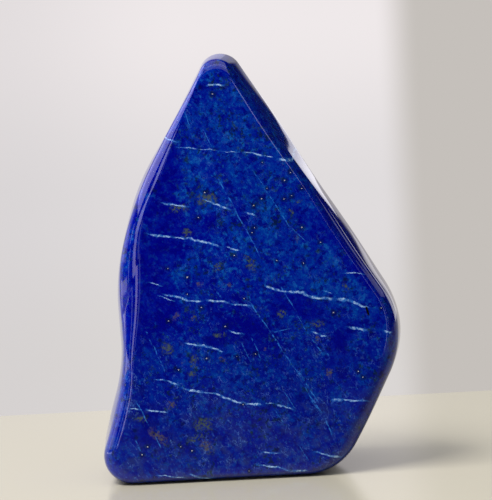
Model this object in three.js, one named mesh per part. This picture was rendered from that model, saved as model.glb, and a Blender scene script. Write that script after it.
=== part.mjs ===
// A free-standing freeform of polished lapis lazuli: one solid stone, cut flat underneath so that it stands,
// with a nearly flat front face, softly rounded edges, drafted sides and a back ground to two broad facets.
// Millimetres, +Z up, the front face towards -Y, the origin under the middle of the stone at its base.

import * as THREE from "three";
import { mergeVertices } from "three/addons/utils/BufferGeometryUtils.js";

// Three outlines of the stone, each a six-cornered figure seen from the front. Every corner is where two
// straight sides would meet, with the radius that rounds it there.
// The flat part of the front face.
const FACE_OUTLINE = {
  tip: { x: -10.6, z: 151.2, radius: 9 },
  shoulder: { x: 49.4, z: 51.5, radius: 20 },
  heel: { x: 23.5, z: 3, radius: 14 },
  foot: { x: -52.5, z: 3, radius: 9 },
  waist: { x: -43, z: 32, radius: 50 },
  bulge: { x: -36, z: 93, radius: 50 },
};
// Where the front face and the sides would meet, before that edge is rounded.
const FRONT_EDGE = {
  tip: { x: -9.2, z: 152.8, radius: 5.8 },
  shoulder: { x: 54.4, z: 49.4, radius: 29 },
  heel: { x: 28.8, z: 0, radius: 20 },
  foot: { x: -58.8, z: 0, radius: 9.5 },
  waist: { x: -44.8, z: 40, radius: 60 },
  bulge: { x: -47.6, z: 86, radius: 95 },
};
// Where the sides and the back would meet, before that edge is rounded.
const BACK_EDGE = {
  tip: { x: -6.2, z: 160.3, radius: 8.5 },
  shoulder: { x: 60, z: 49, radius: 34 },
  heel: { x: 28.2, z: 0, radius: 18 },
  foot: { x: -61, z: 0, radius: 10 },
  waist: { x: -49.2, z: 38, radius: 60 },
  bulge: { x: -48.9, z: 89, radius: 110 },
};

// The front face leans back a little and crowns very slightly towards its middle.
const FRONT_DEPTH = 26;
const FRONT_LEAN = 0.045;
const FRONT_CROWN = 0.8;
// The back leans forward, so the stone thins towards its tip. Its two facets meet at a soft upright ridge.
const BACK_DEPTH = 27;
const BACK_LEAN = 0.15;
const RIDGE_X = 4;
const RIDGE_FALL = 0.16;
const RIDGE_SOFTNESS = 12;
// Both faces are filled from this point, the middle of the stone as seen from the front.
const MIDDLE = { x: 0, z: 62 };

// How far the two edge roundings reach into the sides, as shares of a side's depth.
const FRONT_ROUNDING = 0.16;
const BACK_ROUNDING = 0.36;
// The back rounding reaches inwards until the outline has this share of its size.
const BACK_FACE_SHARE = 0.72;
// The sides swell outwards, most at the shoulder and the waist, and not at all at the tip and the base.
const SIDE_SWELL = 1;
const SWELL_DIES_BELOW = 14;

// How finely the surface is divided: round the outline, then from the front to the back.
const ARC_STEPS = 9;
const SIDE_STEPS = 5;
const FACE_STEPS = 5;
const EDGE_STEPS = 6;
const WALL_STEPS = 5;

const LAPIS_BLUE = 0x0b1f96;
const POLISH_ROUGHNESS = 0.12;

// One corner rounded: the arc that touches both sides that meet there.
function cornerArc(previous, corner, next) {
  const here = new THREE.Vector2(corner.x, corner.z);
  const toPrevious = new THREE.Vector2(previous.x, previous.z).sub(here).normalize();
  const toNext = new THREE.Vector2(next.x, next.z).sub(here).normalize();
  const half = Math.acos(toPrevious.dot(toNext)) / 2;
  const touch = corner.radius / Math.tan(half);
  const centre = toPrevious
    .clone()
    .add(toNext)
    .setLength(corner.radius / Math.sin(half))
    .add(here);
  const start = toPrevious.multiplyScalar(touch).add(here).sub(centre).angle();
  const end = toNext.multiplyScalar(touch).add(here).sub(centre).angle();
  const turn = THREE.MathUtils.euclideanModulo(end - start + Math.PI, 2 * Math.PI) - Math.PI;
  return new THREE.EllipseCurve(
    centre.x, centre.y, corner.radius, corner.radius, start, start + turn, turn < 0,
  );
}

// The whole outline as points in order, the same number of them on every outline.
function outlinePoints(outline) {
  const corners = Object.values(outline);
  const arcs = corners.map((corner, i) =>
    cornerArc(corners.at(i - 1), corner, corners[(i + 1) % corners.length]),
  );
  return arcs.flatMap((arc, i) => {
    const side = new THREE.LineCurve(arc.getPoint(1), arcs[(i + 1) % arcs.length].getPoint(0));
    return [...arc.getPoints(ARC_STEPS), ...side.getPoints(SIDE_STEPS).slice(1, -1)];
  });
}

function frontY(x, z) {
  return -FRONT_DEPTH + FRONT_LEAN * z;
}

// Two planes that fall away from the ridge, joined by a hyperbola so that the ridge is soft.
function backY(x, z) {
  const fall = Math.hypot(x - RIDGE_X, RIDGE_SOFTNESS) - RIDGE_SOFTNESS;
  return BACK_DEPTH - BACK_LEAN * z - RIDGE_FALL * fall;
}

function onFace(point, faceY) {
  return new THREE.Vector3(point.x, faceY(point.x, point.y), point.y);
}

// Points from the middle of a face out to its rim, without the middle and the rim themselves.
function faceFill(rim, faceY, crown) {
  const middle = new THREE.Vector2(MIDDLE.x, MIDDLE.z);
  return Array.from({ length: FACE_STEPS - 1 }, (_, i) => {
    const share = (i + 1) / FACE_STEPS;
    const point = onFace(middle.clone().lerp(rim, share), faceY);
    point.y -= crown * (1 - share ** 2) ** 2;
    return point;
  });
}

// A point on a side, at a share of the way from front to back: a straight line that swells as a parabola.
function sidePoint(frontCorner, backCorner, swell, share) {
  return frontCorner
    .clone()
    .lerp(backCorner, share)
    .addScaledVector(swell, 4 * share * (1 - share));
}

// An edge rounded from one point to another: the line that touches the side where the rounding starts
// passes a little outside the corner, and the curve turns about the point where it does.
function roundedEdge(start, corner, swell, reach, end) {
  const control = corner.clone().addScaledVector(swell, 4 * reach ** 2);
  return new THREE.QuadraticBezierCurve3(start, control, end).getPoints(EDGE_STEPS);
}

// One section of the stone, from the rim of the front face round the edge to the rim of the back.
function section(face, front, back, outward, turnShare) {
  const faceRim = onFace(face, frontY);
  const frontCorner = onFace(front, frontY);
  const backCorner = onFace(back, backY);
  const backRimFlat = new THREE.Vector2(MIDDLE.x, MIDDLE.z).lerp(back, BACK_FACE_SHARE);
  const backRim = onFace(backRimFlat, backY);
  const aboveBase = THREE.MathUtils.clamp(front.y / SWELL_DIES_BELOW, 0, 1);
  const swell = outward.multiplyScalar(SIDE_SWELL * aboveBase * Math.sin(2 * Math.PI * turnShare) ** 2);
  const wall = Array.from({ length: WALL_STEPS + 1 }, (_, i) =>
    sidePoint(
      frontCorner, backCorner, swell,
      THREE.MathUtils.lerp(FRONT_ROUNDING, 1 - BACK_ROUNDING, i / WALL_STEPS),
    ),
  );
  return [
    ...faceFill(face, frontY, FRONT_CROWN),
    ...roundedEdge(faceRim, frontCorner, swell, FRONT_ROUNDING, wall[0]),
    ...wall.slice(1, -1),
    ...roundedEdge(wall.at(-1), backCorner, swell, BACK_ROUNDING, backRim),
    ...faceFill(backRimFlat, backY, 0).reverse(),
  ];
}

// The direction out of an outline at one of its points, across the line between the two beside it.
function outwardAt(points, i) {
  const before = points.at(i - 1);
  const after = points[(i + 1) % points.length];
  return new THREE.Vector3(before.y - after.y, 0, after.x - before.x).normalize();
}

// The closed surface: the sections side by side, with a point in the middle of each face.
function stoneGeometry() {
  const face = outlinePoints(FACE_OUTLINE);
  const front = outlinePoints(FRONT_EDGE);
  const back = outlinePoints(BACK_EDGE);
  const sections = front.map((point, i) =>
    section(face[i], point, back[i], outwardAt(front, i), i / front.length),
  );
  const rows = sections[0].length;
  const middle = new THREE.Vector2(MIDDLE.x, MIDDLE.z);
  const frontMiddle = onFace(middle, frontY);
  frontMiddle.y -= FRONT_CROWN;
  const points = [...sections.flat(), frontMiddle, onFace(middle, backY)];
  const frontPole = points.length - 2;
  const backPole = points.length - 1;
  const triangles = [];
  for (let i = 0; i < sections.length; i += 1) {
    const here = i * rows;
    const beside = ((i + 1) % sections.length) * rows;
    triangles.push(frontPole, beside, here);
    for (let row = 0; row < rows - 1; row += 1) {
      triangles.push(here + row, beside + row + 1, here + row + 1);
      triangles.push(here + row, beside + row, beside + row + 1);
    }
    triangles.push(backPole, here + rows - 1, beside + rows - 1);
  }
  const geometry = new THREE.BufferGeometry().setFromPoints(points);
  geometry.setIndex(triangles);
  return mergeVertices(geometry);
}

const geometry = stoneGeometry();
geometry.computeVertexNormals();
geometry.computeBoundingBox();

const stone = new THREE.Mesh(
  geometry,
  new THREE.MeshStandardMaterial({ color: LAPIS_BLUE, roughness: POLISH_ROUGHNESS, metalness: 0 }),
);
stone.name = "lapis_stone";
const boxMiddle = geometry.boundingBox.getCenter(new THREE.Vector3());
stone.position.set(-boxMiddle.x, -boxMiddle.y, 0);

const group = new THREE.Group();
group.add(stone);

export default group;
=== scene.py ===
"""A free-standing freeform of polished lapis lazuli on a glossy pale table.

The stone's surface is worked out with numpy from three rounded outlines. Its colours, veins and grains are
procedural, in millimetres on Object coordinates. Lengths are in millimetres until a mesh is made.
"""

import math

import bpy
import numpy as np
from mathutils import Euler, Matrix, Vector


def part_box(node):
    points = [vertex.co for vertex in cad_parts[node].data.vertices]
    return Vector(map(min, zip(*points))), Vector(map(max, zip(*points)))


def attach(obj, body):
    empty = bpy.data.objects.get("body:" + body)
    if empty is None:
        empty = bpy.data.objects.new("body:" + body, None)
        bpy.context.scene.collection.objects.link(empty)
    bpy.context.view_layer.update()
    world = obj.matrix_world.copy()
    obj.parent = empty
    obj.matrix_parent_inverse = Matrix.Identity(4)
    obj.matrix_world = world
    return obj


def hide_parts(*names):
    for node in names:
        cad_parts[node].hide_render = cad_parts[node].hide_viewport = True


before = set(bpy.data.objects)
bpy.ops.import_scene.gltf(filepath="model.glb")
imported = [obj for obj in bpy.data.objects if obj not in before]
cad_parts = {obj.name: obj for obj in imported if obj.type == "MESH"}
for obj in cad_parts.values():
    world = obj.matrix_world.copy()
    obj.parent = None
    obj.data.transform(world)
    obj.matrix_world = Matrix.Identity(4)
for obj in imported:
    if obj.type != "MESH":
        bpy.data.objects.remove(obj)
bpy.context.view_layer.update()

STONE_NODE = "lapis_stone"
MM = 0.001

# Three outlines of the stone seen from the front, each with its corners clockwise from the tip: tip,
# shoulder, heel, foot, waist and bulge. A corner is x, z and the radius that rounds it.
# The flat part of the front face.
FACE_OUTLINE = (
    (-10.6, 151.2, 9), (49.4, 51.5, 20), (23.5, 3, 14), (-52.5, 3, 9), (-43, 32, 50), (-36, 93, 50)
)
# Where the front face and the sides would meet, before that edge is rounded.
FRONT_EDGE = (
    (-9.2, 152.8, 5.8), (54.4, 49.4, 29), (28.8, 0, 20), (-58.8, 0, 9.5), (-44.8, 40, 60), (-47.6, 86, 95)
)
# Where the sides and the back would meet, before that edge is rounded.
BACK_EDGE = ((-6.2, 160.3, 8.5), (60, 49, 34), (28.2, 0, 18), (-61, 0, 10), (-49.2, 38, 60), (-48.9, 89, 110))

# The front face leans back and crowns a little. The back leans forward and has two facets with a soft ridge.
FRONT_DEPTH = 26
FRONT_LEAN = 0.045
FRONT_CROWN = 0.8
BACK_DEPTH = 27
BACK_LEAN = 0.15
RIDGE_X = 4
RIDGE_FALL = 0.16
RIDGE_SOFTNESS = 12
# Both faces are filled from this x and z.
MIDDLE = np.array((0.0, 62.0))
# How far the two edge roundings reach into the sides, as shares of a side's depth, and how far in the back
# one ends.
FRONT_ROUNDING = 0.16
BACK_ROUNDING = 0.36
BACK_FACE_SHARE = 0.72
# The sides swell outwards, and not at all at the base.
SIDE_SWELL = 1
SWELL_DIES_BELOW = 14

# How finely the surface is divided: round the outline, then from the front to the back.
ARC_STEPS = 48
SIDE_STEPS = 32
FACE_STEPS = 22
EDGE_STEPS = 16
WALL_STEPS = 20
REAR_STEPS = 22

# A surface polished by hand wanders a little: by this much, over these lengths along x, y and z.
WANDER = 0.22
WANDER_LENGTHS = np.array((47.0, 38.0, 41.0))
WANDER_STARTS_ABOVE = 16

# The camera, in the frame that the outlines are drawn in: how far it stands in front of the front face,
# where it is and what it looks at. The photo's table edge and the stone's base show how far it is turned.
CAMERA_DISTANCE = 560
CAMERA_EYE = Vector((-1.0, -FRONT_DEPTH - CAMERA_DISTANCE, 115))
CAMERA_AIM = Vector((-1.2, -FRONT_DEPTH, 80.9))
CAMERA_ROLL = math.radians(3)
PIXELS_PER_MM = 2.88
PHOTO_WIDTH = 492
PHOTO_HEIGHT = 500
SENSOR = 36

# Calcite veins on the front face, piece by piece, as marks read from the photo: x and y of one end
# and of the other in its pixels, then the thickness in millimetres. They lie in the stone's bedding, so
# their slopes are alike.
CALCITE_VEINS = (
    (207.5, 85, 223.5, 85.3, 0.7),
    (162.3, 139, 176, 142.5, 0.4),
    (177.9, 147.6, 196.3, 148.2, 0.36),
    (201.4, 149, 217, 149.6, 0.32),
    (222.2, 150.5, 237.6, 152.3, 0.34),
    (245, 152.5, 254, 153, 0.55),
    (253, 153.2, 261.5, 157, 0.6),
    (265, 157.4, 271, 158, 0.35),
    (278.6, 160, 289, 160, 0.8),
    (289, 159.4, 298, 161.6, 0.8),
    (162.3, 202.5, 184.4, 206, 0.55),
    (203, 199, 213, 203.5, 0.35),
    (213, 203.8, 231, 210, 0.6),
    (246.5, 213, 255, 215.2, 0.5),
    (149, 234.2, 170, 237.6, 0.7),
    (172, 238, 185, 239.5, 0.45),
    (184.6, 238.9, 216.6, 244.6, 0.72),
    (226.5, 246.2, 238.4, 250.3, 0.5),
    (150, 283, 160.5, 285, 0.4),
    (165.2, 295, 181.3, 296.5, 0.6),
    (181, 296.4, 189.7, 299.8, 0.7),
    (189.5, 299.7, 201, 301.6, 0.6),
    (159.7, 296.5, 173, 299.8, 0.35),
    (207.3, 299.6, 227, 302.6, 0.66),
    (234, 304, 249.4, 305.8, 0.55),
    (266.8, 285.4, 275.2, 288.9, 0.8),
    (275, 288.8, 288, 290.4, 0.7),
    (287.5, 290.4, 303, 292.8, 0.85),
    (302.5, 292.8, 310, 296, 0.75),
    (309.7, 295.8, 331, 298.8, 0.85),
    (336.5, 300.3, 349, 301.2, 0.8),
    (348.5, 301, 360.5, 306.4, 0.75),
    (360, 306.2, 368, 306.9, 0.5),
    (324.5, 291.2, 330.5, 293.4, 0.3),
    (348.7, 326.4, 366.3, 330.8, 0.75),
    (383.5, 331.5, 390.5, 333.1, 0.5),
    (345.8, 273.1, 361.8, 274.1, 0.35),
    (312.4, 331.9, 317.6, 332.9, 0.5),
    (320, 333.8, 325, 335, 0.6),
    (231, 329.8, 241.8, 332.5, 0.5),
    (185, 342.8, 193.6, 344.4, 0.5),
    (193, 344.3, 209, 346.8, 0.6),
    (209, 347, 221, 351.1, 0.5),
    (155.5, 380, 163.7, 382, 0.45),
    (168.3, 382.2, 178.3, 385.6, 0.5),
    (184, 388.2, 203.4, 392.3, 0.6),
    (202, 392, 221, 395.7, 0.62),
    (220.3, 395.8, 231, 399.5, 0.6),
    (230.3, 399.5, 244, 403, 0.7),
    (243.3, 402.9, 260.5, 405, 0.6),
    (266.5, 403.5, 274.5, 403.5, 0.4),
    (277, 404.5, 291, 408.8, 0.66),
    (333, 400, 341.5, 400.4, 1.1),
    (341, 400.2, 366, 401, 0.6),
    (130.8, 408.3, 137.6, 409.4, 0.5),
    (147.4, 409.6, 159, 412, 0.55),
    (160.5, 412.5, 166.5, 413.4, 0.4),
    (262, 451.5, 278, 453.5, 0.5),
    (260, 464.3, 290, 471, 0.55),
    (290, 470.6, 306, 471.3, 0.6),
    (316.5, 451.6, 327, 455.2, 0.6),
    (326, 455.2, 342, 458, 0.7),
    (190.5, 475, 197, 477.2, 0.6),
    (197, 477.4, 213, 477.6, 0.8),
    (158.5, 476.1, 183.5, 479.4, 0.45),
)
# Healed cracks, which cross the bedding steeply, thin and bluish, marked in the same way.
HEALED_CRACKS = (
    (203.5, 130, 212, 147, 0.3),
    (185, 112, 190, 124, 0.3),
    (219.5, 180, 223, 188, 0.4),
    (226, 194, 234, 207, 0.4),
    (234, 207, 244, 225.6, 0.45),
    (244, 225.6, 260, 254, 0.36),
    (249, 166.5, 264, 186, 0.32),
    (263.8, 185.6, 279.2, 211.1, 0.36),
    (279, 210.7, 292, 229, 0.4),
    (292, 228.3, 307.2, 241.4, 0.3),
    (301.7, 153.1, 328.3, 201.9, 0.2),
    (250, 302, 257.7, 313.7, 0.45),
    (257.7, 313.7, 268.4, 329, 0.4),
    (268.4, 329, 281.4, 350.4, 0.5),
    (281.1, 350, 288.6, 360, 0.45),
    (288.3, 359.6, 302, 378, 0.4),
    (297.9, 371, 303.3, 379.2, 1.1),
    (301.9, 377.5, 308.1, 386.6, 0.5),
    (307, 384, 319, 404, 0.4),
    (282, 287, 286, 294.5, 0.5),
    (286, 294.5, 296, 310.6, 0.36),
    (297.4, 316, 305.5, 328.8, 0.34),
    (312.7, 339.7, 322, 352.7, 0.42),
    (322.7, 345.8, 329, 356, 0.34),
    (251.5, 338, 261.5, 356.5, 0.34),
    (242.5, 343.6, 252.5, 361, 0.3),
    (216.5, 291.5, 221, 297.6, 0.5),
    (154.5, 346.6, 158, 358, 0.36),
    (158, 358, 163.7, 371, 0.36),
    (147, 332, 152, 342.8, 0.4),
    (272, 332.8, 290.5, 328.2, 0.36),
    (275, 410.5, 284.8, 424, 0.34),
    (284.5, 391.5, 293, 405.5, 0.32),
    (303.5, 384, 313.5, 402, 0.36),
    (311, 400, 320, 412, 0.34),
    (314, 401, 326, 420, 0.5),
    (326, 421, 332, 434.5, 0.46),
    (136.5, 402, 148.5, 424, 0.36),
    (136, 441, 141, 451, 0.4),
    (300, 447.5, 308, 461, 0.34),
    (156, 437, 161, 447, 0.4),
)
# Single pyrite grains that catch the light on the front face: x and y in the photo's pixels, then the size.
PYRITE_GRAINS = (
    (212.4, 94, 0.6),
    (204.7, 192.5, 0.6),
    (198.4, 217.5, 0.5),
    (253.5, 205.5, 0.6),
    (254.5, 227.7, 0.5),
    (252, 232.6, 0.5),
    (187.3, 277.2, 0.75),
    (234.2, 255.4, 0.5),
    (284.6, 180.4, 0.6),
    (290.5, 172.5, 0.5),
    (301.8, 188.4, 0.5),
    (291.6, 195.6, 0.4),
    (284, 199, 0.5),
    (261.5, 198.8, 0.6),
    (301.9, 227.4, 0.6),
    (320.5, 242.3, 0.5),
    (201.4, 307.4, 0.5),
    (168.5, 321, 0.5),
    (225.2, 326.3, 0.6),
    (255.5, 353.9, 0.5),
    (206.6, 358.3, 0.6),
    (178.5, 370, 0.5),
    (333.4, 312.5, 0.6),
    (358.3, 371.4, 0.5),
    (362.9, 377.2, 0.5),
    (192, 451, 0.6),
    (147.5, 447, 0.6),
    (142, 455, 0.6),
)
# Small spots of diopside, olive to cream, and of iron stain, brown: x and y of the middle in the photo's
# pixels, then length, slope in degrees and thickness.
OLIVE_SPOTS = (
    (206, 199, 5.4, 0, 3),
    (179, 208.5, 4.4, 0, 2),
    (187.2, 232.6, 2.6, -20, 1.8),
    (217.3, 267.7, 2.2, 0, 1.8),
    (249.6, 259.3, 3, -20, 1.1),
    (251.7, 266.3, 2.6, -40, 2.2),
    (219.6, 335, 3.2, 0, 1.7),
    (194.3, 361, 3.6, 80, 1.8),
    (192.8, 374, 2, 0, 2),
    (166.8, 349, 3, 0, 3),
    (345.6, 286.9, 3.4, -60, 1),
    (297.9, 201.2, 1.9, 0, 0.9),
    (291.6, 211.3, 1.4, -20, 0.8),
    (317.3, 323.6, 3.6, 0, 1.8),
    (141, 419, 4, 0, 1.6),
    (203, 425, 5, 0, 3.6),
    (196, 438, 5, 20, 1.6),
    (281.4, 312.9, 2.6, 60, 1.9),
)
BROWN_SPOTS = (
    (158, 436, 6, -40, 2.6),
    (206.9, 446.8, 4.4, -60, 2.6),
    (199.8, 283.8, 1.8, 0, 1.5),
    (229, 285, 1.4, 0, 1.2),
    (176, 316.8, 3, 40, 1.3),
    (192.8, 317.5, 1.3, 60, 1.1),
    (222.6, 359.5, 1.5, 0, 1),
    (170.6, 405.5, 2.8, 20, 1.8),
    (329.6, 372.6, 2.6, 80, 1.6),
    (317.3, 338.9, 1.8, -20, 1),
    (265.3, 349.8, 1.6, 0, 1.5),
)
# Where the blue is lighter and greener, most of the upper half and some patches below: x and z of the
# middle on the front face, length, slope and thickness.
LIGHTER_ZONES = (
    (2, 112, 78, -50, 36),
    (16, 84, 56, -50, 32),
    (-20, 78, 18, -10, 12),
    (-14, 42, 22, -20, 10),
    (27, 67, 22, -20, 14),
    (44, 37, 20, 60, 5),
)
# Where it is deep and pure, with few flecks, along both edges and in some patches inside: the same
# measures.
DEEPER_ZONES = (
    (-33, 85, 66, 80, 12),
    (38, 76, 40, -55, 9),
    (30, 45, 20, 75, 7),
    (-20, 89, 13, 0, 9),
    (-5, 53, 15, -10, 10),
    (16, 60, 16, -15, 7),
    (-40, 20, 10, 70, 8),
)
# A slit left by the cutting, where a vein meets the right edge, marked as a spot is. Inside it the colour is
# painted near black as its shade, and the bump dents it a little.
SLIT = ((367.5, 311, 3.2, -76, 0.8),)
# How far veins and cracks reach into the stone from its front, as sheets, and how far they tip from
# straight back, in degrees, each slope in its own way. Slopes are whole steps, because each one costs a
# turned position.
SHEET_REACH = 62
SHEET_TILTS = (9, -6, 14, 4, -11)
SLOPE_STEP = 5
# A lens thins out towards its ends, so that it is this much longer than the mark it stands for.
LENS_OVERRUN = 0.6
# How far grains and spots reach in.
GRAIN_REACH = 3
# The direction in which threads and clouds are drawn out, as a slope seen from the front.
GRAIN_SLOPE = -62

# Soft lights: where each stands as azimuth and elevation from the middle of the stone, in degrees, with
# azimuth 0 straight in front and positive to the right, then its distance, width, height, the brightness of
# its face and its colour. These are seen in the stone's polish and light nothing.
LIT_MIDDLE = Vector((0, 0, 70))
MIRRORED_LIGHTS = {
    "broad_left": (-88, 41, 900, 1350, 560, 3.9, "#dedcff"),
    "mid_left": (-100, 10, 900, 900, 180, 1.1, "#e4e2ff"),
    "low_left": (-86, -4, 900, 1000, 80, 2.2, "#f0eeff"),
    "strip_left": (-59, 14, 900, 110, 120, 2.6, "#c4ceff"),
    "line_left": (-49, 2, 900, 60, 160, 2.8, "#a8c0ff"),
    "high_left": (-29, 14, 900, 240, 110, 5.0, "#d0d6ff"),
    "band_left": (-28, 3, 900, 150, 240, 3.6, "#ccd2ff"),
    "warm_left": (-26, 0, 900, 80, 200, 1.0, "#e07090"),
    "inner_left": (-15.5, 3, 900, 60, 220, 1.4, "#a8bcff"),
    "overhead_front": (6, 49, 900, 700, 290, 1.2, "#e4eaff"),
    "overhead_line": (15, 64, 850, 700, 40, 4.0, "#e0e8ff"),
    "line_right": (20, 4, 900, 50, 310, 2.8, "#c4d0ff"),
    "thin_right": (38, 5, 900, 30, 260, 2.4, "#d8dcff"),
    "corner_right": (20, 21, 900, 220, 130, 3.4, "#d8dcff"),
    "strip_right": (112, 23, 900, 340, 110, 1.1, "#e0e0ff"),
    "high_right": (82, 25, 900, 560, 80, 1.2, "#e0e0ff"),
    "back_right": (138, 6, 900, 320, 270, 1.6, "#e8e6ec"),
    "far_right": (154, 1, 900, 200, 160, 0.5, "#f0eef0"),
    "tip_right": (164, 12, 900, 220, 100, 1.4, "#f4f2fa"),
}
# This one, from above, lights the stone and the table and is seen in both. The two from the left light one
# of them each and aren't seen: the table's stands higher, and gives the shadow.
OVERHEAD_LIGHT = {"overhead": (0, 80, 900, 1000, 900, 1.3, "#fffcfc")}
STONE_KEY = {"stone_key": (-69, 32, 1800, 640, 640, 48.0, "#fffaf6")}
TABLE_KEY = {"table_key": (-60, 58, 1800, 1000, 600, 26.5, "#fffaf6")}

# The blues, from the deepest to the palest, and what lies in them, as sRGB. Among them are a painted
# reflection of the table, painted shade for the slit and pyrite partly whitened as painted glint.
BLUES = ((0.0, "#000072"), (0.25, "#00067c"), (0.5, "#001684"), (0.75, "#002c8c"), (1.0, "#044698"))
NAVY = "#00006c"
INK = "#061832"
MOSS = "#18302e"
DUSK = "#0c2044"
PUFF = "#1460aa"
# Painted reflection: the pale table mirrored low on the front face, as a grey haze.
PAINTED_TABLE_REFLECTION = "#2c3c6c"
THREAD = "#5078c2"
FLECK = "#3c66b8"
OLIVE = "#46544c"
BROWN = "#504a34"
CRACK = "#2c78cc"
CALCITE = "#94b4da"
PYRITE_GROUND = "#040e26"
# Pale pyrite, whitened past its own brass so that part of its glint is painted into the colour.
PYRITE_WITH_GLINT = "#e2e6ea"
# Painted shade inside the slit.
SLIT_SHADE = "#0a0806"
# Roughness of the polish and of the pyrite grains, and the polish's IOR.
POLISH = 0.05
GRAIN_ROUGHNESS = 0.34
POLISH_IOR = 1.5
# The tone is a place along BLUES. It starts here, and clouds move it: drawn out or not, their size and how
# far.
TONE = 0.44
TONE_CLOUDS = ((True, 6.0, 1.3), (False, 1.5, 1.2), (True, 0.7, 0.8))
LIGHTER_BY = 0.14
DEEPER_BY = 0.3
# Heights at which what lies low in the stone starts and is full, and the same for the grey haze that paints
# the table's reflection.
LOW_DOWN = (74.0, 22.0)
LOWEST_DOWN = (38.0, 14.0)
# Pyrite lies scattered this far apart, besides the single grains, and each grain's dark ground is this wide
# and high.
PYRITE_SPACING = 6.4
PYRITE_GROUND_SIZE = (2.6, 2.2)
# The polish waves a little over this length, and by this much.
PIT_SIZE = 1.2
PIT_DEPTH = 0.02

ROOM_BRIGHTNESS = 0.01
# The backdrop: a pale wall, darker low down, brighter high up, a little dimmer to the left, and in soft
# shade on the right.
BACKDROP_LOW = "#dad6d4"
BACKDROP_LEVEL = "#e0dcdd"
BACKDROP_HIGH = "#efe9ea"
BACKDROP_DIM = "#d0cccd"
BACKDROP_SHADE = "#c5c0bb"
# z of the direction where the first three are full, then x of it where each of the others starts and is
# full.
BACKDROP_HEIGHTS = (-0.13, -0.03, 0.08)
DIMMER_LEFT = (-0.03, -0.16)
SHADED_RIGHT = (0.085, 0.112)
# What the polish mirrors of it: azimuths from straight behind, in degrees, positive to the right, each with
# the share that is mirrored there, then azimuths with the gain of what is mirrored over what the camera
# sees.
MIRRORED_BACKDROP = ((-96, 0.0), (-72, 1.0), (17.5, 1.0), (21.5, 0.0))
MIRROR_GAINS = ((-12, 0.95), (14, 1.15))
# z of the direction where that gain ends and where it is full.
MIRROR_GAIN_HEIGHTS = (0.17, 0.11)
# The grey floor of the room beyond the table, behind the stone.
FAR_FLOOR_BRIGHTNESS = 0.4
EVEN_LIGHT = 0.4

# The table top: pale lacquer, a little rougher than the stone's polish.
TABLE_COLOUR = "#a6a394"
TABLE_ROUGHNESS = 0.16
TABLE_IOR = 1.4
TABLE_FRONT = 700
TABLE_BEHIND = 174
TABLE_HALF_WIDTH = 2500
# As the polish mirrors it, the table straight in front of the stone lies in shade: how far in front the
# shade starts and is full, its half width at the full and at the edge, and what is left of the light near
# and far.
SHADE_FROM = 50
SHADE_TO = 330
SHADE_HALF_WIDTHS = (130, 250)
SHADE_NEAR = 0.26
SHADE_FAR = 0.03


def linear(hex_colour, alpha=1.0):
    """An sRGB hex colour as linear red, green, blue and alpha."""
    parts = [int(hex_colour[i : i + 2], 16) / 255 for i in (1, 3, 5)]
    return (*[p / 12.92 if p <= 0.04045 else ((p + 0.055) / 1.055) ** 2.4 for p in parts], alpha)


def add(tree, kind, inputs, out=0, **settings):
    """Adds a node with its settings. inputs gives a value or the output that feeds it for each socket."""
    made = tree.nodes.new("ShaderNode" + kind)
    for name, value in settings.items():
        setattr(made, name, value)
    for socket, value in inputs.items():
        if isinstance(value, bpy.types.NodeSocket):
            tree.links.new(value, made.inputs[socket])
        else:
            made.inputs[socket].default_value = value
    return made.outputs[out] if made.outputs else made


def rounded_outline(corners):
    """A closed outline of straight sides joined by arcs, as points in order.

    Each corner's arc touches both sides at radius / tan(half the corner's angle) from the corner, and its
    centre lies radius / sin(half the angle) along the bisector. Every arc and every side has the same number
    of points on each outline, so the points of two outlines correspond.
    """
    corners = np.array(corners, float)
    point, radius = corners[:, :2], corners[:, 2]
    to_previous = np.roll(point, 1, 0) - point
    to_next = np.roll(point, -1, 0) - point
    to_previous /= np.linalg.norm(to_previous, axis=1)[:, None]
    to_next /= np.linalg.norm(to_next, axis=1)[:, None]
    half = np.arccos((to_previous * to_next).sum(1)) / 2
    touch = (radius / np.tan(half))[:, None]
    start, end = point + to_previous * touch, point + to_next * touch
    bisector = to_previous + to_next
    bisector /= np.linalg.norm(bisector, axis=1)[:, None]
    centre = point + bisector * (radius / np.sin(half))[:, None]
    angle = np.arctan2(*(start - centre).T[::-1])
    turn = (np.arctan2(*(end - centre).T[::-1]) - angle + np.pi) % (2 * np.pi) - np.pi
    along = angle[:, None] + turn[:, None] * np.linspace(0, 1, ARC_STEPS + 1)
    arcs = centre[:, None] + radius[:, None, None] * np.stack([np.cos(along), np.sin(along)], -1)
    share = (np.arange(1, SIDE_STEPS) / SIDE_STEPS)[None, :, None]
    sides = end[:, None] + (np.roll(start, -1, 0) - end)[:, None] * share
    return np.concatenate([arcs, sides], 1).reshape(-1, 2)


def front_y(x, z):
    """The front plane, leaning back: y rises by FRONT_LEAN for each unit of z."""
    return -FRONT_DEPTH + FRONT_LEAN * z


def back_y(x, z):
    """Two planes that fall away from an upright ridge, joined by a hyperbola so that the ridge is soft."""
    fall = np.hypot(x - RIDGE_X, RIDGE_SOFTNESS) - RIDGE_SOFTNESS
    return BACK_DEPTH - BACK_LEAN * z - RIDGE_FALL * fall


def on_face(points, face_y):
    """Outline points x, z lifted to x, y, z on a face."""
    x, z = points[..., 0], points[..., 1]
    return np.stack([x, face_y(x, z), z], -1)


def rounding(start, corner, end, steps):
    """A quadratic curve: (1 - t)^2 start + 2 t (1 - t) corner + t^2 end, for t from 0 to 1."""
    t = np.linspace(0, 1, steps + 1)[:, None, None]
    return (1 - t) ** 2 * start + 2 * t * (1 - t) * corner + t**2 * end


def wander(points):
    """The hand's wander: three slow sine waves push the surface, and die out towards the flat base."""
    phase = 2 * np.pi * points / WANDER_LENGTHS
    x, y, z = np.moveaxis(phase, -1, 0)
    push = np.stack([np.sin(z + 0.7 * y + 1.0), np.sin(x + 0.6 * z + 2.2), 0.5 * np.sin(x - y)], -1)
    return WANDER * np.clip(points[..., 2:] / WANDER_STARTS_ABOVE, 0, 1) ** 2 * push


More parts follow.
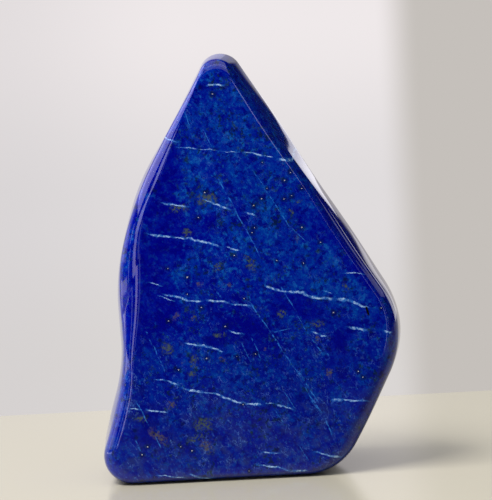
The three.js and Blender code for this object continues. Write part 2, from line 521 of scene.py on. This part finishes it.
def stone_surface():
    """The stone's points, one row for each ring from the front to the back, and the two points that close it.

    A section runs from the middle of the front face to its rim, round the front edge, along the side, which
    swells as a parabola 4 t (1 - t), round the back edge, and in to the middle of the back.
    """
    face, front, back = (rounded_outline(o) for o in (FACE_OUTLINE, FRONT_EDGE, BACK_EDGE))
    rim, front_corner, back_corner = on_face(face, front_y), on_face(front, front_y), on_face(back, back_y)
    back_flat = MIDDLE + (back - MIDDLE) * BACK_FACE_SHARE
    along = np.roll(front, -1, 0) - np.roll(front, 1, 0)
    outward = np.stack([-along[:, 1], 0 * along[:, 0], along[:, 0]], -1)
    outward /= np.linalg.norm(outward, axis=1)[:, None]
    round_share = np.arange(len(front)) / len(front)
    above_base = np.clip(front[:, 1] / SWELL_DIES_BELOW, 0, 1)
    swell = outward * (SIDE_SWELL * above_base * np.sin(2 * np.pi * round_share) ** 2)[:, None]

    share = np.linspace(FRONT_ROUNDING, 1 - BACK_ROUNDING, WALL_STEPS + 1)[:, None, None]
    side = front_corner + (back_corner - front_corner) * share + swell * 4 * share * (1 - share)
    front_edge = rounding(rim, front_corner + swell * 4 * FRONT_ROUNDING**2, side[0], EDGE_STEPS)
    back_edge = rounding(
        side[-1], back_corner + swell * 4 * BACK_ROUNDING**2, on_face(back_flat, back_y), REAR_STEPS
    )
    out = (np.arange(1, FACE_STEPS) / FACE_STEPS)[:, None]
    face_fill = on_face(MIDDLE + (face - MIDDLE) * out[:, None], front_y)
    face_fill[..., 1] -= FRONT_CROWN * (1 - out**2) ** 2
    back_fill = on_face(MIDDLE + (back_flat - MIDDLE) * out[::-1, None], back_y)
    rings = np.concatenate([face_fill, front_edge, side[1:-1], back_edge, back_fill])
    front_middle = on_face(MIDDLE, front_y) - np.array((0, FRONT_CROWN, 0))
    ends = np.stack([front_middle, on_face(MIDDLE, back_y)])
    return rings + wander(rings), ends + wander(ends)


def shift_to_node(points, node):
    """How far points move in x and y so that the middle of their box is the middle of the node's box."""
    low, high = (np.array(corner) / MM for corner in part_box(node))
    shift = (low + high) / 2 - (points.min(0) + points.max(0)) / 2
    shift[2] = 0
    return shift


def stone_mesh(rings, ends):
    """A closed mesh from the rings: squares between one ring and the next, and a fan at each end."""
    rows, around = rings.shape[:2]
    index = np.arange(rows * around).reshape(rows, around)
    beside = np.roll(index, -1, 1)
    squares = np.stack([index[:-1], beside[:-1], beside[1:], index[1:]], -1).reshape(-1, 4)
    front_end, back_end = rows * around, rows * around + 1
    front_fan = np.stack([np.full(around, front_end), beside[0], index[0]], -1)
    back_fan = np.stack([np.full(around, back_end), index[-1], beside[-1]], -1)
    mesh = bpy.data.meshes.new("polished_stone")
    points = np.concatenate([rings.reshape(-1, 3), ends]) * MM
    mesh.from_pydata(points.tolist(), [], [*squares.tolist(), *front_fan.tolist(), *back_fan.tolist()])
    mesh.polygons.foreach_set("use_smooth", np.ones(len(mesh.polygons), bool))
    mesh.validate()
    return mesh


def turned(eye, aim, roll=0.0):
    """The matrix of a camera or light at eye that looks at aim, turned clockwise about its own axis."""
    eye, aim = Vector(eye) * MM, Vector(aim) * MM
    towards = (aim - eye).to_track_quat("-Z", "Y").to_matrix().to_4x4()
    return Matrix.Translation(eye) @ towards @ Matrix.Rotation(-roll, 4, "Z")


def seen_at(x, y):
    """Which point of the front face the photo shows at a pixel, as x and z in the frame of the outlines.

    The line of sight through the pixel meets the plane of the face, y = FRONT_LEAN z - FRONT_DEPTH, moved out
    by half of its crown.
    """
    pixel = Vector((x - PHOTO_WIDTH / 2, PHOTO_HEIGHT / 2 - y, -PIXELS_PER_MM * CAMERA_DISTANCE))
    sight = turned(CAMERA_EYE, CAMERA_AIM, CAMERA_ROLL).to_3x3() @ pixel
    to_face = -FRONT_DEPTH - FRONT_CROWN / 2 + FRONT_LEAN * CAMERA_EYE.z - CAMERA_EYE.y
    point = CAMERA_EYE + sight * (to_face / (sight.y - FRONT_LEAN * sight.z))
    return point.x, point.z


def marked(marks):
    """Lenses from marks with two ends: x, z, length, slope in whole steps and thickness of each."""
    lenses = []
    for start_x, start_y, end_x, end_y, thickness in marks:
        start, end = np.array(seen_at(start_x, start_y)), np.array(seen_at(end_x, end_y))
        across, up = end - start
        slope = SLOPE_STEP * round(math.degrees(math.atan2(up, across)) / SLOPE_STEP)
        lenses.append((*(start + end) / 2, math.hypot(across, up) + LENS_OVERRUN, slope, thickness))
    return lenses


def placed(spots):
    """Spots with their place in pixels turned to x and z on the front face, and their other measures kept."""
    return [(*seen_at(x, y), *measures) for x, y, *measures in spots]


def lens_distance(tree, position, lenses, reach, tilts=(0,)):
    """How far a point is from the nearest of several lenses: 1 on its rim, less inside and more outside.

    A lens is blunt at its ends: (x / half length)^4 + (y / reach)^4 + (z / half thickness)^4 = 1 in its own
    turned axes. The distance is the square root of that sum. Lenses of one slope share one turned position.
    """
    turned_to, nearest = {}, None
    for x, z, length, slope, thickness in lenses:
        turn = Euler((math.radians(tilts[slope // SLOPE_STEP % len(tilts)]), math.radians(-slope), 0))
        if slope not in turned_to:
            turned_to[slope] = add(
                tree, "Mapping", {"Vector": position, "Rotation": tuple(turn)}, vector_type="TEXTURE"
            )
        half = Vector((length / 2, reach, thickness / 2))
        middle = turn.to_matrix().inverted() @ Vector((x, front_y(x, z), z))
        inverse = [1 / side for side in half]
        offset = [-along / side for along, side in zip(middle, half)]
        place = add(
            tree, "VectorMath", {0: turned_to[slope], 1: inverse, 2: offset}, operation="MULTIPLY_ADD"
        )
        squared = add(tree, "VectorMath", {0: place, 1: place}, operation="MULTIPLY")
        distance = add(tree, "VectorMath", {0: squared}, out=1, operation="LENGTH")
        if nearest is None:
            nearest = distance
        else:
            nearest = add(tree, "Math", {0: nearest, 1: distance}, operation="MINIMUM")
    return nearest


def bent(tree, at, length, amount):
    """The position pushed about by noise, so that what is drawn there bends over a length by an amount."""
    noise = add(tree, "TexNoise", {"Vector": at, "Scale": 1 / length, "Detail": 3.0}, out=1)
    push = add(tree, "VectorMath", {0: noise, 1: (0.5, 0.5, 0.5)}, operation="SUBTRACT")
    return add(tree, "VectorMath", {0: push, 1: (amount,) * 3, 2: at}, operation="MULTIPLY_ADD")


def clouds(tree, at, size, detail=5.0, roughness=0.65):
    """Noise with features of a size in millimetres, about 0.5 on average."""
    return add(tree, "TexNoise", {"Vector": at, "Scale": 1 / size, "Detail": detail, "Roughness": roughness})


def rising(tree, value, low, high, strength=1.0):
    """A smooth rise from 0 at low to a strength at high. It falls instead if low is the greater."""
    if low > high:
        ends = {1: high, 2: low, 3: strength, 4: 0.0}
    else:
        ends = {1: low, 2: high, 4: strength}
    return add(tree, "MapRange", {0: value, **ends}, interpolation_type="SMOOTHSTEP")


def ragged(tree, distance, noise, amount):
    """A distance made uneven by noise: distance + amount (noise - 0.5)."""
    uneven = add(tree, "Math", {0: noise, 1: amount, 2: -amount / 2}, operation="MULTIPLY_ADD")
    return add(tree, "Math", {0: distance, 1: uneven})


def times(tree, a, b):
    """The product of two shares."""
    return add(tree, "Math", {0: a, 1: b}, operation="MULTIPLY")


def painted(tree, colour, layers):
    """Layers over a colour, from the bottom up, each a share and the colour that it mixes in."""
    for share, layer in layers:
        colour = add(tree, "Mix", {0: share, 6: colour, 7: linear(layer)}, out=2, data_type="RGBA")
    return colour


def lazurite(tree, at, drawn):
    """The blue itself: clouds move its tone up and down, lighter zones raise it and deeper ones lower it."""
    loose = bent(tree, at, 14, 22)
    islands = clouds(tree, at, 6.5)
    lighter = ragged(tree, lens_distance(tree, loose, LIGHTER_ZONES, SHEET_REACH), islands, 5.0)
    deeper = ragged(tree, lens_distance(tree, loose, DEEPER_ZONES, SHEET_REACH), islands, -5.0)
    deep = rising(tree, deeper, 2.4, 0.6)
    tone = TONE
    for drawn_out, size, amount in TONE_CLOUDS:
        tone = ragged(tree, tone, clouds(tree, drawn if drawn_out else at, size), amount)
    tone = add(tree, "Math", {0: tone, 1: rising(tree, lighter, 2.6, 0.4, LIGHTER_BY)})
    tone = add(tree, "Math", {0: tone, 1: times(tree, deep, DEEPER_BY)}, operation="SUBTRACT")
    blue = add(tree, "ValToRGB", {0: tone})
    stops = blue.node.color_ramp.elements
    stops[1].position = BLUES[0][0]
    for position, colour in BLUES[1:]:
        stops.new(position).color = linear(colour)
    stops[0].color = stops[1].color = linear(BLUES[0][1])
    return blue, deep


def inclusions(tree, at, drawn, blue, deep):
    """What lies in the blue: navy and ink blotches, puffs, threads, flecks and stained spots, and over them a
    grey haze low on the face that is painted reflection of the pale table.
    """
    pure = add(tree, "Math", {0: 1.0, 1: times(tree, deep, 0.75)}, operation="SUBTRACT")
    height = add(tree, "SeparateXYZ", {0: at}, out=2)
    uneven = clouds(tree, at, 16.0)
    low = rising(tree, ragged(tree, height, uneven, 60.0), *LOW_DOWN)
    table_reflected_low = times(tree, pure, rising(tree, ragged(tree, height, uneven, 30.0), *LOWEST_DOWN))
    flecked = times(tree, pure, add(tree, "MapRange", {0: low, 3: 0.42, 4: 1.0}))
    airy = times(tree, pure, add(tree, "MapRange", {0: low, 3: 1.0, 4: 0.5}))
    patchy = times(tree, pure, rising(tree, clouds(tree, at, 8.0), 0.46, 0.58))
    ridge = add(tree, "Math", {0: clouds(tree, drawn, 3.4, 3.0), 1: 0.5}, operation="SUBTRACT")
    ridge = rising(tree, add(tree, "Math", {0: ridge}, operation="ABSOLUTE"), 0.014, 0.002, 0.42)
    thread = times(tree, ridge, rising(tree, clouds(tree, at, 5.3), 0.47, 0.6))
    loose = bent(tree, at, 1.7, 3.2)
    speckled = rising(tree, clouds(tree, at, 0.9), 0.42, 0.6, 0.66)
    olive = lens_distance(tree, loose, placed(OLIVE_SPOTS), GRAIN_REACH)
    brown = lens_distance(tree, loose, placed(BROWN_SPOTS), GRAIN_REACH)
    stains = clouds(tree, at, 7.3, 7.0, 0.72)
    return painted(
        tree,
        blue,
        (
            (times(tree, airy, rising(tree, clouds(tree, at, 2.0), 0.54, 0.64, 0.42)), PUFF),
            (rising(tree, clouds(tree, at, 2.9), 0.53, 0.6, 0.85), NAVY),
            # Painted reflection: a patchy grey haze low on the face, where the polish mirrors the pale table.
            (times(tree, table_reflected_low, rising(tree, clouds(tree, at, 5.1, 6.0), 0.44, 0.64, 0.38)), PAINTED_TABLE_REFLECTION),
            (times(tree, low, 0.12), DUSK),
            (times(tree, patchy, rising(tree, clouds(tree, at, 1.8), 0.53, 0.62, 0.8)), INK),
            (times(tree, patchy, rising(tree, clouds(tree, at, 2.3, 6.0, 0.75), 0.56, 0.65, 0.8)), MOSS),
            (times(tree, flecked, thread), THREAD),
            (times(tree, flecked, rising(tree, clouds(tree, drawn, 0.8, 3.0), 0.57, 0.76, 0.46)), FLECK),
            (times(tree, low, rising(tree, stains, 0.64, 0.74, 0.36)), BROWN),
            (times(tree, pure, rising(tree, stains, 0.37, 0.28, 0.34)), OLIVE),
            (times(tree, speckled, rising(tree, olive, 3.6, 1.2)), INK),
            (times(tree, speckled, rising(tree, brown, 2.2, 0.3)), BROWN),
            (times(tree, speckled, rising(tree, olive, 2.2, 0.3)), OLIVE),
        ),
    )


def veined(tree, at, blue):
    """White calcite veins, wavy, uneven and broken, with a bluish rim, and thin healed cracks."""
    wavy = bent(tree, bent(tree, at, 8, 2.4), 1.7, 1.0)
    uneven = clouds(tree, at, 2.2, 6.0, 0.75)
    vein = lens_distance(tree, wavy, marked(CALCITE_VEINS), SHEET_REACH, SHEET_TILTS)
    vein = ragged(tree, vein, uneven, 3.0)
    straight = bent(tree, bent(tree, at, 10, 1.6), 1.7, 0.5)
    crack = lens_distance(tree, straight, marked(HEALED_CRACKS), SHEET_REACH, SHEET_TILTS)
    crack = ragged(tree, crack, uneven, 3.0)
    whole = rising(tree, clouds(tree, at, 1.4), 0.39, 0.6)
    return painted(
        tree,
        blue,
        (
            (times(tree, whole, rising(tree, crack, 1.5, 0.0, 0.7)), CRACK),
            (rising(tree, vein, 1.9, 0.2, 0.42), CRACK),
            (times(tree, whole, rising(tree, vein, 1.0, 0.05, 0.95)), CALCITE),
        ),
    )


def pyrite(tree, at):
    """Pyrite grains, 0.4 to 0.8 mm, and the dark ground that each one lies in."""
    loose = bent(tree, at, 0.9, 1.7)
    near = add(tree, "TexVoronoi", {"Vector": at, "Scale": 1 / PYRITE_SPACING}, out=0)
    near_loose = add(tree, "TexVoronoi", {"Vector": loose, "Scale": 1 / PYRITE_SPACING}, out=0)
    grains = placed(PYRITE_GRAINS)
    wide, high = PYRITE_GROUND_SIZE
    single = lens_distance(tree, at, [(x, z, size, 0, 0.8 * size) for x, z, size in grains], GRAIN_REACH)
    single_loose = lens_distance(tree, loose, [(x, z, wide, 0, high) for x, z, _ in grains], GRAIN_REACH)
    scattered, marked_grains = rising(tree, near, 0.03, 0.018), rising(tree, single, 0.7, 0.2, 0.85)
    round_scattered = rising(tree, near_loose, 0.19, 0.05, 0.6)
    round_marked = rising(tree, single_loose, 1.4, 0.0, 0.6)
    grain = add(tree, "Math", {0: scattered, 1: marked_grains}, operation="MAXIMUM")
    ground = add(tree, "Math", {0: round_scattered, 1: round_marked}, operation="MAXIMUM")
    return grain, ground


def polished_lapis(shift):
    """Lapis lazuli, ground and polished on a wheel: opaque, with the gloss of glass and sharp reflections."""
    material = bpy.data.materials.new("polished_lapis_lazuli")
    material.use_nodes = True
    tree = material.node_tree
    tree.nodes.clear()
    metres = add(tree, "TexCoord", {}, out=3)
    at = add(tree, "VectorMath", {0: metres, 1: (1 / MM,) * 3, 2: tuple(-shift)}, operation="MULTIPLY_ADD")
    drawn = add(
        tree,
        "Mapping",
        {"Vector": at, "Rotation": (0, math.radians(-GRAIN_SLOPE), 0), "Scale": (1.7, 1.1, 1.0)},
        vector_type="TEXTURE",
    )
    blue, deep = lazurite(tree, at, drawn)
    blue = inclusions(tree, at, drawn, blue, deep)
    blue = veined(tree, at, blue)
    grain, ground = pyrite(tree, at)
    # The slit's mask paints its shade into the colour and dents it in the bump.
    slit_dent_and_shade = rising(tree, lens_distance(tree, at, placed(SLIT), GRAIN_REACH), 1.3, 0.6)
    # The pyrite grains' whitish colour is partly painted glint.
    colour = painted(tree, blue, ((ground, PYRITE_GROUND), (grain, PYRITE_WITH_GLINT), (slit_dent_and_shade, SLIT_SHADE)))
    roughness = add(tree, "MapRange", {0: grain, 3: POLISH, 4: GRAIN_ROUGHNESS})
    pits = clouds(tree, at, PIT_SIZE, 2.0)
    height = add(tree, "Math", {0: slit_dent_and_shade, 1: -2.0, 2: pits}, operation="MULTIPLY_ADD")
    bump = add(tree, "Bump", {"Height": height, "Strength": 0.05, "Distance": PIT_DEPTH * MM})
    metal = times(tree, grain, 0.6)
    shader = add(
        tree,
        "BsdfPrincipled",
        {"Base Color": colour, "Metallic": metal, "Roughness": roughness, "IOR": POLISH_IOR, "Normal": bump},
    )
    add(tree, "OutputMaterial", {"Surface": shader})
    return material


def make_stone():
    """The one piece of the object, in place of its node."""
    rings, ends = stone_surface()
    shift = shift_to_node(rings.reshape(-1, 3), STONE_NODE)
    mesh = stone_mesh(rings + shift, ends + shift)
    mesh.materials.append(polished_lapis(shift))
    stone = bpy.data.objects.new("polished_stone", mesh)
    bpy.context.scene.collection.objects.link(stone)
    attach(stone, "root")
    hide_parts(STONE_NODE)
    return stone, shift


def make_camera(shift):
    """The photo's camera, a little above the stone's middle, turned a little about its own axis."""
    data = bpy.data.cameras.new("camera")
    data.sensor_width = SENSOR
    data.lens = PIXELS_PER_MM * CAMERA_DISTANCE * SENSOR / max(PHOTO_WIDTH, PHOTO_HEIGHT)
    data.clip_start, data.clip_end = 0.01, 20
    camera = bpy.data.objects.new("camera", data)
    shift = Vector(shift)
    camera.matrix_world = turned(CAMERA_EYE + shift, CAMERA_AIM + shift, CAMERA_ROLL)
    bpy.context.scene.collection.objects.link(camera)
    bpy.context.scene.camera = camera


def make_lights(lights, mirrored, lighting, lit=None):
    """Soft rectangular lights, unseen by the camera itself: seen in a polish, lighting, or both.

    They reach only what the collection lit holds, if there is one.
    """
    for name, (azimuth, elevation, distance, width, height, brightness, colour) in lights.items():
        data = bpy.data.lights.new(name, "AREA")
        data.shape = "RECTANGLE"
        data.size, data.size_y = width * MM, height * MM
        data.energy = brightness * math.pi * width * height * MM**2
        data.color = linear(colour)[:3]
        light = bpy.data.objects.new(name, data)
        a, e = math.radians(azimuth), math.radians(elevation)
        away = Vector((math.sin(a) * math.cos(e), -math.cos(a) * math.cos(e), math.sin(e))) * distance
        light.matrix_world = turned(LIT_MIDDLE + away, LIT_MIDDLE)
        light.visible_camera = False
        light.visible_glossy, light.visible_diffuse = mirrored, lighting
        light.light_linking.receiver_collection = lit
        bpy.context.scene.collection.objects.link(light)


def make_surroundings():
    """A pale backdrop behind the stone, a dim room in front of it, and even light on all that isn't mirrored.

    The backdrop's share in the mirror follows the angle from straight behind, atan2(x, y) of the direction.
    """
    world = bpy.data.worlds.new("pale_studio")
    bpy.context.scene.world = world
    world.use_nodes = True
    tree = world.node_tree
    tree.nodes.clear()
    direction = add(tree, "TexCoord", {}, out=0)
    across, behind, upward = (add(tree, "SeparateXYZ", {0: direction}, out=i) for i in range(3))
    low, level, high = BACKDROP_HEIGHTS
    backdrop = painted(
        tree,
        linear(BACKDROP_LOW),
        (
            (rising(tree, upward, low, level), BACKDROP_LEVEL),
            (rising(tree, upward, level, high), BACKDROP_HIGH),
            (rising(tree, across, *DIMMER_LEFT, 0.45), BACKDROP_DIM),
            (rising(tree, across, *SHADED_RIGHT), BACKDROP_SHADE),
        ),
    )
    angle = add(tree, "Math", {0: across, 1: behind}, operation="ARCTAN2")
    (left_out, _), (left_in, _), (right_in, _), (right_out, _) = MIRRORED_BACKDROP
    mirrored = times(
        tree,
        rising(tree, angle, math.radians(left_out), math.radians(left_in)),
        rising(tree, angle, math.radians(right_out), math.radians(right_in)),
    )
    mirrored = times(tree, mirrored, rising(tree, upward, 0.9, 0.75))
    dim = (ROOM_BRIGHTNESS,) * 3 + (1.0,)
    (from_left, dimmer), (to_right, brighter) = MIRROR_GAINS
    gain = add(
        tree,
        "MapRange",
        {0: angle, 1: math.radians(from_left), 2: math.radians(to_right), 3: dimmer - 1, 4: brighter - 1},
    )
    below = rising(tree, upward, *MIRROR_GAIN_HEIGHTS)
    gain = add(tree, "Math", {0: gain, 1: below, 2: 1.0}, operation="MULTIPLY_ADD")
    wider = add(tree, "VectorMath", {0: backdrop, "Scale": gain}, operation="SCALE")
    far_floor = rising(tree, behind, 0.0, 0.3, FAR_FLOOR_BRIGHTNESS)
    far_floor = times(tree, rising(tree, upward, 0.03, -0.04), far_floor)
    room = painted(tree, dim, ((far_floor, "#ffffff"),))
    room = add(tree, "Mix", {0: mirrored, 6: room, 7: wider}, out=2, data_type="RGBA")
    seen = add(tree, "LightPath", {}, out=0)
    in_polish = add(tree, "LightPath", {}, out=3)
    even = (EVEN_LIGHT,) * 3 + (1.0,)
    colour = add(tree, "Mix", {0: in_polish, 6: even, 7: room}, out=2, data_type="RGBA")
    colour = add(tree, "Mix", {0: seen, 6: colour, 7: backdrop}, out=2, data_type="RGBA")
    background = add(tree, "Background", {0: colour, 1: 1.0})
    add(tree, "OutputWorld", {"Surface": background})


def collected(name, thing):
    """A collection that holds one object, for the lights that reach it alone."""
    collection = bpy.data.collections.new(name)
    collection.objects.link(thing)
    return collection


def make_table(shift):
    """A glossy pale table top, whose far edge shows behind the stone.

    In the stone's polish, the part of it straight in front lies in shade.
    """
    front = -FRONT_DEPTH + shift[1]
    low = Vector((-TABLE_HALF_WIDTH, front - TABLE_FRONT, 0)) * MM
    high = Vector((TABLE_HALF_WIDTH, front + TABLE_BEHIND, 0)) * MM
    mesh = bpy.data.meshes.new("table_top")
    corners = [(low.x, low.y, 0), (high.x, low.y, 0), (high.x, high.y, 0), (low.x, high.y, 0)]
    mesh.from_pydata(corners, [], [(0, 1, 2, 3)])
    material = bpy.data.materials.new("lacquered_table")
    material.use_nodes = True
    tree = material.node_tree
    tree.nodes.clear()
    metres = add(tree, "TexCoord", {}, out=3)
    side = add(tree, "Math", {0: add(tree, "SeparateXYZ", {0: metres}, out=0)}, operation="ABSOLUTE")
    forward = add(tree, "SeparateXYZ", {0: metres}, out=1)
    near_middle = rising(tree, side, SHADE_HALF_WIDTHS[1] * MM, SHADE_HALF_WIDTHS[0] * MM)
    far = (front - SHADE_TO) * MM
    near = (front - SHADE_FROM) * MM
    left = add(tree, "MapRange", {0: forward, 1: far, 2: near, 3: SHADE_FAR, 4: SHADE_NEAR})
    dark = times(tree, near_middle, add(tree, "Math", {0: 1.0, 1: left}, operation="SUBTRACT"))
    ahead = rising(tree, forward, front * MM, near)
    dark = times(tree, times(tree, dark, ahead), add(tree, "LightPath", {}, out=3))
    colour = painted(tree, linear(TABLE_COLOUR), ((dark, "#000000"),))
    shader = add(
        tree, "BsdfPrincipled", {"Base Color": colour, "Roughness": TABLE_ROUGHNESS, "IOR": TABLE_IOR}
    )
    add(tree, "OutputMaterial", {"Surface": shader})
    mesh.materials.append(material)
    table = bpy.data.objects.new("table_top", mesh)
    bpy.context.scene.collection.objects.link(table)
    return table


stone, shift = make_stone()
table = make_table(shift)
stone_alone, table_alone = collected("stone_alone", stone), collected("table_alone", table)
make_camera(shift)
make_lights(MIRRORED_LIGHTS, mirrored=True, lighting=False, lit=stone_alone)
make_lights(OVERHEAD_LIGHT, mirrored=True, lighting=True)
make_lights(STONE_KEY, mirrored=False, lighting=True, lit=stone_alone)
make_lights(TABLE_KEY, mirrored=False, lighting=True, lit=table_alone)
make_surroundings()
bpy.context.scene.view_settings.view_transform = "Standard"
